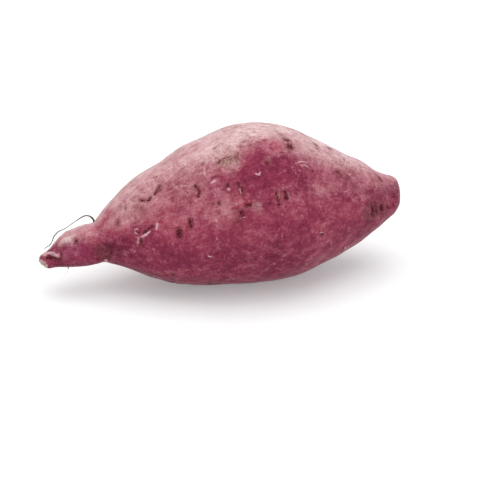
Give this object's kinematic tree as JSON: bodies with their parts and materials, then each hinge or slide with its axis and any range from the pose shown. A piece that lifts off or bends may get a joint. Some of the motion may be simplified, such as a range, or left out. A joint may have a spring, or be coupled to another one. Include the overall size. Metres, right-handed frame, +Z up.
{
  "type": "sweet potato",
  "caption": "Whole red-skinned sweet potato: a fat tapering storage root with a thin broken neck at one end, a blunt tail at the other, sunken eyes and a thin rootlet, lying on its belly.",
  "frame": {"origin": "under the middle of the root, on the surface that it rests on", "axes": "+X along the root from the thin neck to the blunt tail end, +Z up, -Y the side that the picture shows"},
  "size_m": [0.1802, 0.079, 0.0776],
  "materials": {
    "skin": null
  },
  "bodies": {
    "root": {"storage_root": "skin"}
  },
  "joints": []
}
